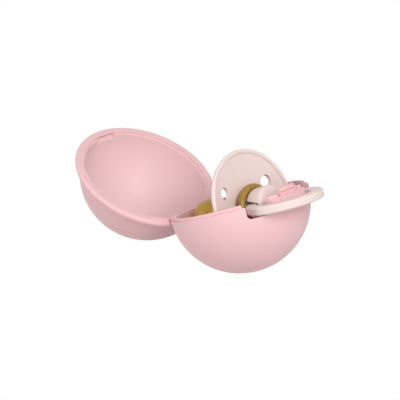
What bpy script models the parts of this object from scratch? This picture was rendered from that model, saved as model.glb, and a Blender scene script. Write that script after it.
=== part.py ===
"""Ball-shaped pacifier case lying open on its two round shells, with one pacifier in its base.

Everything of the case is drawn in the case frame: its origin is the centre of the closed ball, +Z is
the normal of the seam, the hinge is at -X and the latch at +X. The base's empty leans that frame back
until both shells stand on the ground, and the lid turns out of it about the hinge pin.
Lengths are in metres and angles in degrees.
"""
import math

import bmesh
import bpy
from mathutils import Matrix, Vector

# Case: the ball and its seam
BALL_RADIUS = 0.0280
WALL = 0.0025
LID_WALL = 0.0014
STAND_FLAT_RADIUS = 0.0042
SEAM_GAP = 0.0003
LIP_HEIGHT = 0.0012
LIP_SETBACK = 0.00125
LIP_CLEARANCE = 0.0003
EDGE_CHAMFER = 0.0002

# Lid: the bead round its rim
BEAD_RADIUS = 0.00135
BEAD_REACH = 0.0024
BEAD_END = 0.0116
BEAD_GAP_SETBACK = 0.00015

# Hinge
OPEN_ANGLE = 131.9
HINGE_DROP = 0.00095
PIN_RADIUS = 0.0008
PIN_CLEARANCE = 0.0003
BARREL_RADIUS = 0.0020
BARREL_CLEARANCE = 0.0003
LID_BARREL_HALF = 0.0050
BASE_BARREL_END = 0.0109
LID_WEB_HEIGHT = 0.0023
BASE_WEB_HEIGHT = 0.0027
BASE_WEB_REACH = 0.0028
WEB_INSET = 0.0003
BASE_WEB_TOP = 0.00035

# Notches for the pacifier's ring, and the latch tab that stands between them
NOTCH_FLOOR_GAP = 0.0003
NOTCH_SIDE_ROOM = 0.0039
NOTCH_CORNER = 0.0020
TAB_RING_GAP = 0.0006
TAB_ROOT_GAP = 0.00045
HEAD_HALF = 0.00435
HEAD_RISE = 0.0018
HEAD_SIDE_GAP = 0.00155
HEAD_TAPER = 0.00045
NOSE_REACH = 0.00085
NOSE_LIFT = 0.0003
NOSE_LAND = 0.0002
NOSE_SLOPE_RISE = 0.0006
PAD_HALF = 0.0057
PAD_PROUD = 0.0006
PAD_MARGIN = 0.0003
POCKET_CLEARANCE = 0.0003
POCKET_SLOPE_RISE = 0.0010

# Pacifier: the shield
SHIELD_EDGE_GAP = 0.00045
SHIELD_THICKNESS = 0.0015
DISH_RADIUS = 0.0630
RIM_RADIUS = 0.0011
RIM_WRAP = 135.0
SHIELD_LEAN = 4.84
SHIELD_RISE = 0.00191
FACE_SETBACK = 0.00106
VENT_RADIUS = 0.0025
VENT_INSET = 0.0081
VENT_ANGLES = (30.0, 150.0, 270.0)

# Pacifier: the teat, which passes through the shield square to it and bends up behind it
TEAT_DROP = 0.0035
TEAT_WALL = 0.0011
NECK_RADIUS = 0.0048
NECK_CLEARANCE = 0.0003
NECK_BEND = 7.0
NECK_FLARE = 0.0004
JOINT_OVERLAP = 0.0012
BULB_RADIUS = 0.0067
BULB_TIP_GAP = 0.0008
FLANGE_RADIUS = 0.0088
FLANGE_GAP = 0.00024
FLANGE_THICKNESS = 0.0011
COLLAR_RADIUS = 0.0095
COLLAR_BORE = 0.0066
COLLAR_FOOT = 0.0074
COLLAR_UNDERCUT = 60.0
COLLAR_GAP = 0.00033
COLLAR_RING_GAP = 0.0005
COLLAR_WEB = 0.0010

# Pacifier: the two-piece knob
KNOB_RADIUS = 0.0072
KNOB_WALL = 0.00096
KNOB_EDGE = 0.0016
KNOB_BACK_EDGE = 0.0008
KNOB_COLLAR_GAP = 0.0001
SPIGOT_CLEARANCE = 0.0004
PLUG_CLEARANCE = 0.0005
PLUG_DISC_THICKNESS = 0.0012
PLUG_GAP = 0.0003
PLUG_LENGTH = 0.0039

# Pacifier: the ring
RING_OUTER_RADIUS = 0.0152
RING_WIDTH = 0.0046
RING_HEIGHT = 0.0034
RING_EDGE = 0.0007
FINGER_GAP = 0.00566
RING_PIVOT_INSET = 0.00414
RING_PIVOT_RISE = 0.0009
RING_LEAN = 1.7
RING_SWING = 20.0
RING_CLEARANCE = 0.0004

# Facets
SHELL_STEPS = 40
ARC_STEPS = 11
TEAT_STEPS = 24
PIN_STEPS = 24
HOLE_STEPS = 20
HALVINGS = 40
OVERRUN = 0.0010
MERGE_DISTANCE = 0.00001

HALF_TURN = 180.0
QUARTER_TURN = 90.0

# Worked out from the sizes above
INNER_RADIUS = BALL_RADIUS - WALL
LID_INNER_RADIUS = BALL_RADIUS - LID_WALL
LIP_RADIUS = BALL_RADIUS - LIP_SETBACK
GROOVE_RADIUS = LIP_RADIUS + LIP_CLEARANCE
LEDGE_HEIGHT = LIP_HEIGHT + SEAM_GAP
BEAD_CIRCLE = BALL_RADIUS + BEAD_REACH - BEAD_RADIUS
HINGE_TILT = math.degrees(math.atan2(HINGE_DROP, BALL_RADIUS))
CASE_LEAN = QUARTER_TURN - OPEN_ANGLE / 2 - HINGE_TILT
STAND_HEIGHT = math.sqrt(BALL_RADIUS ** 2 - STAND_FLAT_RADIUS ** 2)
HINGE_AXIS = Vector((-BALL_RADIUS, 0, -HINGE_DROP))
BORE_RADIUS = PIN_RADIUS + PIN_CLEARANCE
RELIEF_RADIUS = BARREL_RADIUS + BARREL_CLEARANCE

# The ring stands a finger's gap in front of the latch tab, and its back bar sets the knob's place
RING_INNER_RADIUS = RING_OUTER_RADIUS - RING_WIDTH
RING_CENTRE_REACH = BALL_RADIUS + PAD_PROUD + FINGER_GAP - RING_INNER_RADIUS
RING_BACK_REACH = RING_CENTRE_REACH - RING_OUTER_RADIUS
RING_PIVOT_REACH = RING_BACK_REACH + RING_PIVOT_INSET
RING_PIVOT_DROP = TEAT_DROP - RING_PIVOT_RISE
RING_AXIS = Vector((RING_PIVOT_REACH, 0, -RING_PIVOT_DROP))
RING_FALL = (BALL_RADIUS - RING_PIVOT_REACH) * math.sin(math.radians(RING_LEAN))
NOTCH_DEPTH = RING_PIVOT_DROP + RING_FALL + RING_HEIGHT / 2 + NOTCH_FLOOR_GAP
NOTCH_OUTSIDE = RING_OUTER_RADIUS + NOTCH_SIDE_ROOM
TAB_EDGE_REACH = ((BALL_RADIUS ** 2 + RING_CENTRE_REACH ** 2 - (RING_INNER_RADIUS - TAB_RING_GAP) ** 2)
                  / (2 * RING_CENTRE_REACH))
TAB_HALF = math.sqrt(BALL_RADIUS ** 2 - TAB_EDGE_REACH ** 2)
TAB_ROOT = NOTCH_DEPTH - TAB_ROOT_GAP
TAB_AXIS = Vector((math.sqrt(INNER_RADIUS ** 2 - NOTCH_DEPTH ** 2), 0, -(NOTCH_DEPTH + TAB_ROOT) / 2))
HEAD_TOP = LIP_HEIGHT + HEAD_RISE
NOSE_BOTTOM = LIP_HEIGHT + NOSE_LIFT
NOSE_TIP = LIP_RADIUS + NOSE_REACH
NOSE_TOP = NOSE_BOTTOM + NOSE_LAND

# Heights along the teat's axis, which starts where the knob's plug lets the ring's back bar pass
COLLAR_BEAD = (COLLAR_RADIUS - COLLAR_BORE) / 2
COLLAR_MIDDLE = COLLAR_BORE + COLLAR_BEAD
COLLAR_BACK = COLLAR_GAP - FACE_SETBACK + (SHIELD_RISE + COLLAR_MIDDLE) ** 2 / (2 * DISH_RADIUS)
PLUG_DISC_BACK = COLLAR_BACK + COLLAR_WEB + PLUG_GAP
PLUG_DISC_FRONT = PLUG_DISC_BACK + PLUG_DISC_THICKNESS
SPIGOT_BACK = PLUG_DISC_FRONT + PLUG_GAP
SPIGOT_RADIUS = COLLAR_BORE - SPIGOT_CLEARANCE
PLUG_DISC_RADIUS = COLLAR_BORE - PLUG_CLEARANCE
TEAT_REACH = RING_BACK_REACH - RING_CLEARANCE - PLUG_DISC_FRONT
TEAT_ORIGIN = Vector((TEAT_REACH, 0, -TEAT_DROP))
COLLAR_FRONT = (RING_CENTRE_REACH - TEAT_REACH + COLLAR_BEAD
                - math.sqrt((RING_OUTER_RADIUS + COLLAR_BEAD + COLLAR_RING_GAP) ** 2 - COLLAR_MIDDLE ** 2))
KNOB_SHOULDER = COLLAR_FRONT + KNOB_COLLAR_GAP
SLOT_HALF_HEIGHT = RING_HEIGHT / 2 + RING_CLEARANCE
SLOT_BACK = -RING_PIVOT_INSET - RING_CLEARANCE
SLOT_FRONT = (RING_CENTRE_REACH - math.sqrt(RING_INNER_RADIUS ** 2 - KNOB_RADIUS ** 2)
              + RING_CLEARANCE - RING_PIVOT_REACH)
KNOB_FRONT = RING_PIVOT_REACH + math.hypot(SLOT_FRONT, SLOT_HALF_HEIGHT) + KNOB_WALL - TEAT_REACH
FLANGE_FRONT = -FACE_SETBACK - SHIELD_THICKNESS - FLANGE_GAP
FLANGE_BACK = FLANGE_FRONT - FLANGE_THICKNESS

# The shield's face and the bulb reach as far as the base's inner wall lets them
AXIS = Vector((math.cos(math.radians(SHIELD_LEAN)), 0, math.sin(math.radians(SHIELD_LEAN))))
RISE = Vector((-AXIS.z, 0, AXIS.x))
SHIELD_ORIGIN = TEAT_ORIGIN - FACE_SETBACK * AXIS + SHIELD_RISE * RISE
NECK_JOINT = TEAT_ORIGIN + FLANGE_BACK * AXIS
BULB_LEAN = SHIELD_LEAN - NECK_BEND
BULB_WAY = -Vector((math.cos(math.radians(BULB_LEAN)), 0, math.sin(math.radians(BULB_LEAN))))
BULB_REACH = INNER_RADIUS - BULB_TIP_GAP - BULB_RADIUS
BULB_DISTANCE = (math.sqrt(NECK_JOINT.dot(BULB_WAY) ** 2 - NECK_JOINT.length_squared + BULB_REACH ** 2)
                 - NECK_JOINT.dot(BULB_WAY))


def dish(radius):
    """How far the shield's dished front face comes forward of its middle at a radius."""
    return radius ** 2 / (2 * DISH_RADIUS)


def fitted_rim():
    """The circle of the rolled rim's middle that leaves the named gap to the base's inner wall."""
    low = 0
    high = INNER_RADIUS
    for turn in range(HALVINGS):
        rim = (low + high) / 2
        lowest = SHIELD_ORIGIN + dish(rim) * AXIS - rim * RISE
        if lowest.length + RIM_RADIUS + SHIELD_EDGE_GAP > INNER_RADIUS:
            high = rim
        else:
            low = rim
    return low


RIM_CIRCLE = fitted_rim()
SHIELD_RADIUS = RIM_CIRCLE + RIM_RADIUS
VENT_CIRCLE_RADIUS = SHIELD_RADIUS - VENT_INSET


def clear_scene():
    """Remove every object that the scene holds."""
    for item in list(bpy.data.objects):
        bpy.data.objects.remove(item, do_unlink=True)


def new_collection(name):
    """A collection linked to the scene."""
    collection = bpy.data.collections.new(name)
    bpy.context.scene.collection.children.link(collection)
    return collection


def plastic(name, colour, roughness):
    """A Principled material of one colour."""
    material = bpy.data.materials.new(name)
    material.use_nodes = True
    shader = material.node_tree.nodes["Principled BSDF"]
    shader.inputs["Base Color"].default_value = (*colour, 1)
    shader.inputs["Roughness"].default_value = roughness
    shader.inputs["Metallic"].default_value = 0
    material.diffuse_color = (*colour, 1)
    return material


def empty(name, location, lean, parent, collection):
    """An empty on a joint's axis; lean turns it about Y, raising +X where it is positive."""
    item = bpy.data.objects.new(name, None)
    item.location = location
    item.rotation_euler = (0, math.radians(-lean), 0)
    item.parent = parent
    collection.objects.link(item)
    return item


def add_object(name, mesh, parent, collection, location=(0, 0, 0), lean=0):
    """An object of a mesh, placed under its parent."""
    item = bpy.data.objects.new(name, mesh)
    item.location = location
    item.rotation_euler = (0, math.radians(-lean), 0)
    item.parent = parent
    collection.objects.link(item)
    return item


def arc(centre, radius, start, end, steps=ARC_STEPS):
    """Points (x, z) of an arc, both ends included."""
    points = []
    for step in range(steps + 1):
        angle = math.radians(start + (end - start) * step / steps)
        points.append((centre[0] + radius * math.cos(angle), centre[1] + radius * math.sin(angle)))
    return points


def rounded(corner, radius, start, end, steps=3):
    """A corner's rounding: the arc whose square corner would be the given point."""
    first = math.radians(start)
    last = math.radians(end)
    centre = (corner[0] - radius * (math.cos(first) + math.cos(last)),
              corner[1] - radius * (math.sin(first) + math.sin(last)))
    return arc(centre, radius, start, end, steps)


def turned(name, outline, parent, collection, steps, closed, **place):
    """A profile in the XZ plane turned about Z by a Screw modifier, smooth but for its sharp edges."""
    mesh = bpy.data.meshes.new(name)
    count = len(outline)
    edges = [(index, index + 1) for index in range(count - 1)]
    if closed:
        edges.append((count - 1, 0))
    mesh.from_pydata([(x, 0, z) for x, z in outline], edges, [])
    item = add_object(name, mesh, parent, collection, **place)
    screw = item.modifiers.new("turn", "SCREW")
    screw.axis = "Z"
    screw.steps = steps
    screw.render_steps = steps
    screw.use_merge_vertices = True
    screw.merge_threshold = MERGE_DISTANCE
    screw.use_smooth_shade = True
    return item


def box(name, low, high, parent, collection, bevel=0, axis=None, **place):
    """A box between two corners; with a bevel, its edges along one axis are rounded."""
    work = bmesh.new()
    bmesh.ops.create_cube(work, size=1)
    size = [high[i] - low[i] for i in range(3)]
    middle = [(high[i] + low[i]) / 2 for i in range(3)]
    bmesh.ops.scale(work, vec=size, verts=work.verts)
    bmesh.ops.translate(work, vec=middle, verts=work.verts)
    if bevel:
        along = [edge for edge in work.edges
                 if abs(edge.verts[0].co[axis] - edge.verts[1].co[axis]) > size[axis] / 2]
        bmesh.ops.bevel(work, geom=along, offset=bevel, segments=4, profile=0.5, affect="EDGES")
    mesh = bpy.data.meshes.new(name)
    work.to_mesh(mesh)
    work.free()
    return add_object(name, mesh, parent, collection, **place)


def rod(name, radius, start, end, steps, parent, collection, direction="Y", **place):
    """A round rod along Y or Z from start to end, about its object's origin."""
    work = bmesh.new()
    length = end - start
    bmesh.ops.create_cone(work, cap_ends=True, segments=steps, radius1=radius, radius2=radius, depth=length)
    bmesh.ops.translate(work, vec=(0, 0, (start + end) / 2), verts=work.verts)
    if direction == "Y":
        turn = Matrix.Rotation(math.radians(-QUARTER_TURN), 3, "X")
        bmesh.ops.rotate(work, cent=(0, 0, 0), matrix=turn, verts=work.verts)
    mesh = bpy.data.meshes.new(name)
    work.to_mesh(mesh)
    work.free()
    return add_object(name, mesh, parent, collection, **place)


def prism(name, outline, low, high, parent, collection, **place):
    """An outline in the XZ plane, drawn out along Y from low to high."""
    work = bmesh.new()
    ring = [work.verts.new((x, low, z)) for x, z in outline]
    face = work.faces.new(ring)
    drawn = bmesh.ops.extrude_face_region(work, geom=[face])
    moved = [item for item in drawn["geom"] if isinstance(item, bmesh.types.BMVert)]
    bmesh.ops.translate(work, vec=(0, high - low, 0), verts=moved)
    bmesh.ops.recalc_face_normals(work, faces=work.faces)
    mesh = bpy.data.meshes.new(name)
    work.to_mesh(mesh)
    work.free()
    return add_object(name, mesh, parent, collection, **place)


def combine(item, other, operation):
    """Join, cut or keep what two solids share, exactly."""
    modifier = item.modifiers.new(other.name, "BOOLEAN")
    modifier.operation = operation
    modifier.object = other
    modifier.solver = "EXACT"
    other.hide_render = True
    other.display_type = "WIRE"


def base_outline():
    """The base's wall: up its inside from the pole, over the lip and down its outside."""
    lip_top = [(INNER_RADIUS, LIP_HEIGHT), (LIP_RADIUS - EDGE_CHAMFER, LIP_HEIGHT),
               (LIP_RADIUS, LIP_HEIGHT - EDGE_CHAMFER), (LIP_RADIUS, 0), (BALL_RADIUS - EDGE_CHAMFER, 0)]
    inside = arc((0, 0), INNER_RADIUS, -QUARTER_TURN, 0)
    outside = arc((0, 0), BALL_RADIUS, 0, -QUARTER_TURN)
    outside[0] = (BALL_RADIUS, -EDGE_CHAMFER)
    inside[0] = (0, -INNER_RADIUS)
    outside[-1] = (0, -BALL_RADIUS)
    return inside + lip_top + outside


def lid_outline():
    """The lid's wall: down its outside from the pole, round the bead, up the groove and its inside."""
    height = SEAM_GAP + BEAD_RADIUS
    distance = math.hypot(BEAD_CIRCLE, height)
    share = (BALL_RADIUS ** 2 + distance ** 2 - BEAD_RADIUS ** 2) / (2 * BALL_RADIUS * distance)
    spread = math.degrees(math.acos(share))
    middle = math.degrees(math.atan2(height, BEAD_CIRCLE))
    outside = arc((0, 0), BALL_RADIUS, QUARTER_TURN, middle + spread)
    outside[0] = (0, BALL_RADIUS)
    foot = arc((0, 0), BALL_RADIUS, middle - spread, math.degrees(math.asin(SEAM_GAP / BALL_RADIUS)), 1)
    start = math.degrees(math.atan2(outside[-1][1] - height, outside[-1][0] - BEAD_CIRCLE))
    end = math.degrees(math.atan2(foot[0][1] - height, foot[0][0] - BEAD_CIRCLE))
    bead = arc((BEAD_CIRCLE, height), BEAD_RADIUS, start, end, 8)[1:-1]
    groove = [(GROOVE_RADIUS + EDGE_CHAMFER, SEAM_GAP), (GROOVE_RADIUS, SEAM_GAP + EDGE_CHAMFER),
              (GROOVE_RADIUS, LEDGE_HEIGHT)]
    ledge = math.degrees(math.asin(LEDGE_HEIGHT / LID_INNER_RADIUS))
    inside = arc((0, 0), LID_INNER_RADIUS, ledge, QUARTER_TURN)
    inside[-1] = (0, LID_INNER_RADIUS)
    return outside + bead + foot + groove + inside


def make_floor_cutter(root, cutters):
    """A block under the ground plane, which gives each shell its small standing flat."""
    reach = 4 * BALL_RADIUS
    return box("ground_cutter", (-reach, -BALL_RADIUS, -BALL_RADIUS), (reach, BALL_RADIUS, 0), root, cutters)


def make_base(case, parts, cutters, ground):
    """The base: half the ball with a lip, two hinge barrels and the opening for ring and latch."""
    base = turned("base_shell", base_outline(), case, parts, SHELL_STEPS, False)
    opening = box("front_opening_cutter", (BALL_RADIUS / 3, -NOTCH_OUTSIDE, -NOTCH_DEPTH),
                  (BALL_RADIUS + OVERRUN, NOTCH_OUTSIDE, LIP_HEIGHT + NOTCH_CORNER + OVERRUN),
                  case, cutters, NOTCH_CORNER, 0)
    combine(base, opening, "DIFFERENCE")
    relief = rod("base_relief_cutter", RELIEF_RADIUS, -LID_BARREL_HALF - BARREL_CLEARANCE,
                 LID_BARREL_HALF + BARREL_CLEARANCE, PIN_STEPS, case, cutters, location=HINGE_AXIS)
    combine(base, relief, "DIFFERENCE")
    start = LID_BARREL_HALF + BARREL_CLEARANCE
    for side in (-1, 1):
        low, high = sorted((side * start, side * BASE_BARREL_END))
        barrel = rod(f"base_barrel_{side}", BARREL_RADIUS, low, high, PIN_STEPS, case, cutters,
                     location=HINGE_AXIS)
        web = box(f"base_web_{side}", (-BALL_RADIUS, low + WEB_INSET, -BASE_WEB_HEIGHT - HINGE_DROP),
                  (BASE_WEB_REACH - BALL_RADIUS, high - WEB_INSET, -BASE_WEB_TOP), case, cutters)
        combine(base, web, "UNION")
        combine(base, barrel, "UNION")
    bore = rod("base_bore_cutter", BORE_RADIUS, -BASE_BARREL_END - OVERRUN, BASE_BARREL_END + OVERRUN,
               PIN_STEPS, case, cutters, location=HINGE_AXIS)
    combine(base, bore, "DIFFERENCE")
    combine(base, ground, "DIFFERENCE")
    return base


def make_lid(pivot, parts, cutters, ground):
    """The lid: half the ball with a bead round its rim, a groove for the lip and the latch pocket."""
    place = {"location": -HINGE_AXIS}
    lid = turned("lid_shell", lid_outline(), pivot, parts, SHELL_STEPS, False, **place)
    outside = BALL_RADIUS + BEAD_REACH + OVERRUN
    inside = BALL_RADIUS - BEAD_GAP_SETBACK
    top = SEAM_GAP + 2 * BEAD_RADIUS
    bead_cut = turned("bead_gap_cutter", [(outside, top + OVERRUN), (outside, -OVERRUN), (inside, -OVERRUN),
                                          (inside, top - BEAD_RADIUS / 3), (inside + OVERRUN, top + OVERRUN)],
                      pivot, cutters, SHELL_STEPS, True, **place)
    hinge_side = box("bead_gap_limit", (-2 * BALL_RADIUS, -BEAD_END, -BALL_RADIUS),
                     (0, BEAD_END, BALL_RADIUS), pivot, cutters, **place)
    combine(bead_cut, hinge_side, "INTERSECT")
    combine(lid, bead_cut, "DIFFERENCE")
    relief = rod("lid_relief_cutter", RELIEF_RADIUS, -BASE_BARREL_END - BARREL_CLEARANCE,
                 BASE_BARREL_END + BARREL_CLEARANCE, PIN_STEPS, pivot, cutters)
    combine(lid, relief, "DIFFERENCE")
    web_half = LID_BARREL_HALF - WEB_INSET
    web = box("lid_web", (-BALL_RADIUS - BARREL_RADIUS + WEB_INSET, -web_half, SEAM_GAP),
              (-GROOVE_RADIUS - WEB_INSET, web_half, SEAM_GAP + LID_WEB_HEIGHT), pivot, cutters, **place)
    combine(lid, web, "UNION")
    barrel = rod("lid_barrel", BARREL_RADIUS, -LID_BARREL_HALF, LID_BARREL_HALF, PIN_STEPS, pivot, cutters)
    combine(lid, barrel, "UNION")
    bore = rod("lid_bore_cutter", BORE_RADIUS, -LID_BARREL_HALF - OVERRUN, LID_BARREL_HALF + OVERRUN,
               PIN_STEPS, pivot, cutters)
    combine(lid, bore, "DIFFERENCE")
    combine(lid, make_pocket(pivot, cutters, place), "DIFFERENCE")
    combine(lid, ground, "DIFFERENCE")
    return lid


def make_pocket(pivot, cutters, place):
    """What the latch head fills of the lid when the case is shut, with room all round."""
    room = POCKET_CLEARANCE
    top = HEAD_TOP + room
    inner = INNER_RADIUS - 2 * room
    outline = [(inner, -OVERRUN), (GROOVE_RADIUS, -OVERRUN), (GROOVE_RADIUS, NOSE_BOTTOM - room),
               (NOSE_TIP + room, NOSE_BOTTOM - room), (NOSE_TIP + room, NOSE_TOP + room / 2),
               (LIP_RADIUS + room, NOSE_TOP + NOSE_SLOPE_RISE + room / 2),
               (LIP_RADIUS - HEAD_TAPER + room / 2, top), (inner, top + POCKET_SLOPE_RISE)]
    return prism("latch_pocket_cutter", outline, -HEAD_HALF - room, HEAD_HALF + room, pivot, cutters, **place)


def make_pin(case, parts):
    """The hinge pin, through the base's two barrels and the lid's one."""
    end = BASE_BARREL_END - BARREL_CLEARANCE
    return rod("hinge_pin", PIN_RADIUS, -end, end, PIN_STEPS, case, parts, location=HINGE_AXIS)


def make_tab(pivot, parts, cutters):
    """The latch tab: the stretch of wall between the notches, its hooked head and its thumb pad."""
    place = {"location": -TAB_AXIS}
    root = math.degrees(math.asin(TAB_ROOT / BALL_RADIUS))
    inner_root = math.degrees(math.asin(TAB_ROOT / INNER_RADIUS))
    outline = arc((0, 0), BALL_RADIUS, 0, -root, 4) + arc((0, 0), INNER_RADIUS, -inner_root, 0, 4)
    outline[0] = (BALL_RADIUS, -EDGE_CHAMFER)
    outline += [(INNER_RADIUS, LIP_HEIGHT), (LIP_RADIUS - EDGE_CHAMFER, LIP_HEIGHT),
                (LIP_RADIUS, LIP_HEIGHT - EDGE_CHAMFER), (LIP_RADIUS, 0), (BALL_RADIUS - EDGE_CHAMFER, 0)]
    tab = turned("latch_tab", outline, pivot, parts, 2 * SHELL_STEPS, True, **place)
    limit = box("tab_limit", (0, -TAB_HALF, -BALL_RADIUS), (2 * BALL_RADIUS, TAB_HALF, BALL_RADIUS),
                pivot, cutters, **place)
    combine(tab, limit, "INTERSECT")
    for side in (-1, 1):
        low, high = sorted((side * HEAD_HALF, side * (HEAD_HALF + HEAD_SIDE_GAP)))
        gap = box(f"head_gap_cutter_{side}", (INNER_RADIUS / 2, low, 0),
                  (BALL_RADIUS + OVERRUN, high, LIP_HEIGHT + OVERRUN), pivot, cutters, **place)
        combine(tab, gap, "DIFFERENCE")
    back = math.sqrt(INNER_RADIUS ** 2 - HEAD_HALF ** 2)
    head_outline = [(NOSE_TIP, NOSE_TOP), (NOSE_TIP, NOSE_BOTTOM), (LIP_RADIUS, NOSE_BOTTOM),
                    (LIP_RADIUS, -TAB_ROOT / 2), (back, -TAB_ROOT / 2), (back, HEAD_TOP),
                    (LIP_RADIUS - HEAD_TAPER, HEAD_TOP), (LIP_RADIUS, NOSE_TOP + NOSE_SLOPE_RISE)]
    head = prism("latch_head", head_outline, -HEAD_HALF, HEAD_HALF, pivot, cutters, **place)
    combine(tab, head, "UNION")
    proud = BALL_RADIUS + PAD_PROUD
    low = math.degrees(math.asin((TAB_ROOT - PAD_MARGIN) / proud))
    high = math.degrees(math.asin(2 * PAD_MARGIN / proud))
    pad_outline = arc((0, 0), proud, -high, -low, 4)
    pad_outline += [(BALL_RADIUS - WALL / 2, pad_outline[-1][1]), (BALL_RADIUS - WALL / 2, pad_outline[0][1])]
    pad = turned("latch_pad", pad_outline, pivot, cutters, 2 * SHELL_STEPS, True, **place)
    pad_limit = box("pad_limit", (0, -PAD_HALF, -BALL_RADIUS), (2 * BALL_RADIUS, PAD_HALF, BALL_RADIUS),
                    pivot, cutters, **place)
    combine(pad, pad_limit, "INTERSECT")
    combine(tab, pad, "UNION")
    return tab


def make_shield(carrier, parts, cutters):
    """The dished round shield with its rolled rim, three vents and the hole for the teat's neck.

    Turned about its own Z, which points to the knob; Z = 0 is the middle of its front face.
    """
    steps = 7
    radii = [(RIM_CIRCLE - RIM_RADIUS) * (1 - step / steps) for step in range(steps + 1)]
    front = [(radius, dish(radius)) for radius in reversed(radii)]
    back = [(radius, dish(radius) - SHIELD_THICKNESS) for radius in radii]
    edge = arc((RIM_CIRCLE, dish(RIM_CIRCLE)), RIM_RADIUS, RIM_WRAP, -RIM_WRAP, 8)
    place = {"location": SHIELD_ORIGIN, "lean": SHIELD_LEAN - QUARTER_TURN}
    shield = turned("pacifier_shield", front + edge + back, carrier, parts, SHELL_STEPS, False, **place)
    neck = rod("neck_hole_cutter", NECK_RADIUS + NECK_CLEARANCE, -BALL_RADIUS / 2, BALL_RADIUS / 2, TEAT_STEPS,
               carrier, cutters, "Z", location=TEAT_ORIGIN, lean=SHIELD_LEAN - QUARTER_TURN)
    combine(shield, neck, "DIFFERENCE")
    for index, angle in enumerate(VENT_ANGLES):
        turn = math.radians(angle)
        # In the shield's own frame Y is the width and -X is up
        centre = Vector((-VENT_CIRCLE_RADIUS * math.sin(turn), VENT_CIRCLE_RADIUS * math.cos(turn), 0))
        vent = rod(f"vent_cutter_{index}", VENT_RADIUS, -2 * SHIELD_THICKNESS, 2 * SHIELD_THICKNESS, HOLE_STEPS,
                   shield, cutters, "Z", location=centre)
        combine(shield, vent, "DIFFERENCE")
    return shield


def make_teat(carrier, parts, cutters):
    """The hollow rubber teat: collar, neck and flange, and behind them the bulb on its bent neck."""
    front_place = {"location": TEAT_ORIGIN, "lean": SHIELD_LEAN - QUARTER_TURN}
    bore = NECK_RADIUS - TEAT_WALL
    web_front = COLLAR_BACK + COLLAR_WEB
    outline = [(bore, web_front), (COLLAR_BORE, web_front)]
    outline += arc((COLLAR_MIDDLE, COLLAR_FRONT - COLLAR_BEAD), COLLAR_BEAD, HALF_TURN, -COLLAR_UNDERCUT, 9)
    outline += [(COLLAR_FOOT, COLLAR_BACK), (NECK_RADIUS, COLLAR_BACK), (NECK_RADIUS, FLANGE_FRONT), (FLANGE_RADIUS, FLANGE_FRONT),
                (FLANGE_RADIUS, FLANGE_BACK), (bore, FLANGE_BACK)]
    teat = turned("teat", outline, carrier, parts, TEAT_STEPS, True, **front_place)

    back_place = {"location": NECK_JOINT, "lean": BULB_LEAN - QUARTER_TURN}
    bulb = (0, -BULB_DISTANCE)
    join = math.degrees(math.acos(NECK_RADIUS / BULB_RADIUS))
    outline = [(0, JOINT_OVERLAP / 2), (NECK_RADIUS - NECK_FLARE, JOINT_OVERLAP / 2),
               (NECK_RADIUS + NECK_FLARE, -JOINT_OVERLAP), (NECK_RADIUS, -2 * JOINT_OVERLAP)]
    outline += arc(bulb, BULB_RADIUS, join, -QUARTER_TURN, 8)
    outline[-1] = (0, -BULB_DISTANCE - BULB_RADIUS)
    rear = turned("teat_bulb", outline, carrier, cutters, TEAT_STEPS, False, **back_place)
    inner_bulb = BULB_RADIUS - TEAT_WALL
    inner_join = math.degrees(math.acos(bore / inner_bulb))
    outline = [(0, 2 * JOINT_OVERLAP), (bore - 2 * NECK_FLARE, 2 * JOINT_OVERLAP),
               (bore - 2 * NECK_FLARE, -JOINT_OVERLAP), (bore, -2 * JOINT_OVERLAP)]
    outline += arc(bulb, inner_bulb, inner_join, -QUARTER_TURN, 7)
    outline[-1] = (0, -BULB_DISTANCE - inner_bulb)
    hollow = turned("teat_hollow_cutter", outline, carrier, cutters, TEAT_STEPS, False, **back_place)
    combine(rear, hollow, "DIFFERENCE")
    combine(teat, rear, "UNION")
    return teat


def make_knob(carrier, parts, cutters):
    """The knob's cap, slotted across for the ring and open at its back."""
    outline = [(0, KNOB_FRONT)]
    outline += rounded((KNOB_RADIUS, KNOB_FRONT), KNOB_EDGE, QUARTER_TURN, 0)
    outline += rounded((KNOB_RADIUS, KNOB_SHOULDER), KNOB_BACK_EDGE, 0, -QUARTER_TURN)
    outline += [(SPIGOT_RADIUS, KNOB_SHOULDER), (SPIGOT_RADIUS, SPIGOT_BACK), (0, SPIGOT_BACK)]
    knob = turned("knob_cap", outline, carrier, parts, TEAT_STEPS, False,
                  location=TEAT_ORIGIN, lean=SHIELD_LEAN - QUARTER_TURN)
    combine(knob, make_ring_slot(carrier, cutters), "DIFFERENCE")
    return knob


def make_ring_slot(carrier, cutters):
    """The slot across the knob: all that the ring's stretch inside the knob sweeps as it swings down."""
    corners = []
    steps = 6
    for step in range(steps + 1):
        turn = -math.radians(RING_SWING * step / steps + RING_LEAN)
        for x in (SLOT_BACK, SLOT_FRONT):
            for z in (-SLOT_HALF_HEIGHT, SLOT_HALF_HEIGHT):
                corners.append((x * math.cos(turn) - z * math.sin(turn),
                                x * math.sin(turn) + z * math.cos(turn)))
    open_back = TEAT_REACH + SPIGOT_BACK - RING_PIVOT_REACH - OVERRUN
    low = min(z for x, z in corners if x < 0)
    corners += [(open_back, low), (open_back, SLOT_HALF_HEIGHT)]
    return prism("ring_slot_cutter", hull(corners), -KNOB_RADIUS - OVERRUN, KNOB_RADIUS + OVERRUN,
                 carrier, cutters, location=RING_AXIS)


def hull(points):
    """The convex outline round a set of points, in order."""
    ordered = sorted(set(points))
    def half(sequence):
        chain = []
        for point in sequence:
            while len(chain) > 1 and cross(chain[-2], chain[-1], point) <= 0:
                chain.pop()
            chain.append(point)
        return chain[:-1]
    return half(ordered) + half(reversed(ordered))


def cross(origin, first, second):
    """Twice the area of the triangle of three points, positive where they turn left."""
    return ((first[0] - origin[0]) * (second[1] - origin[1])
            - (first[1] - origin[1]) * (second[0] - origin[0]))


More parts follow.
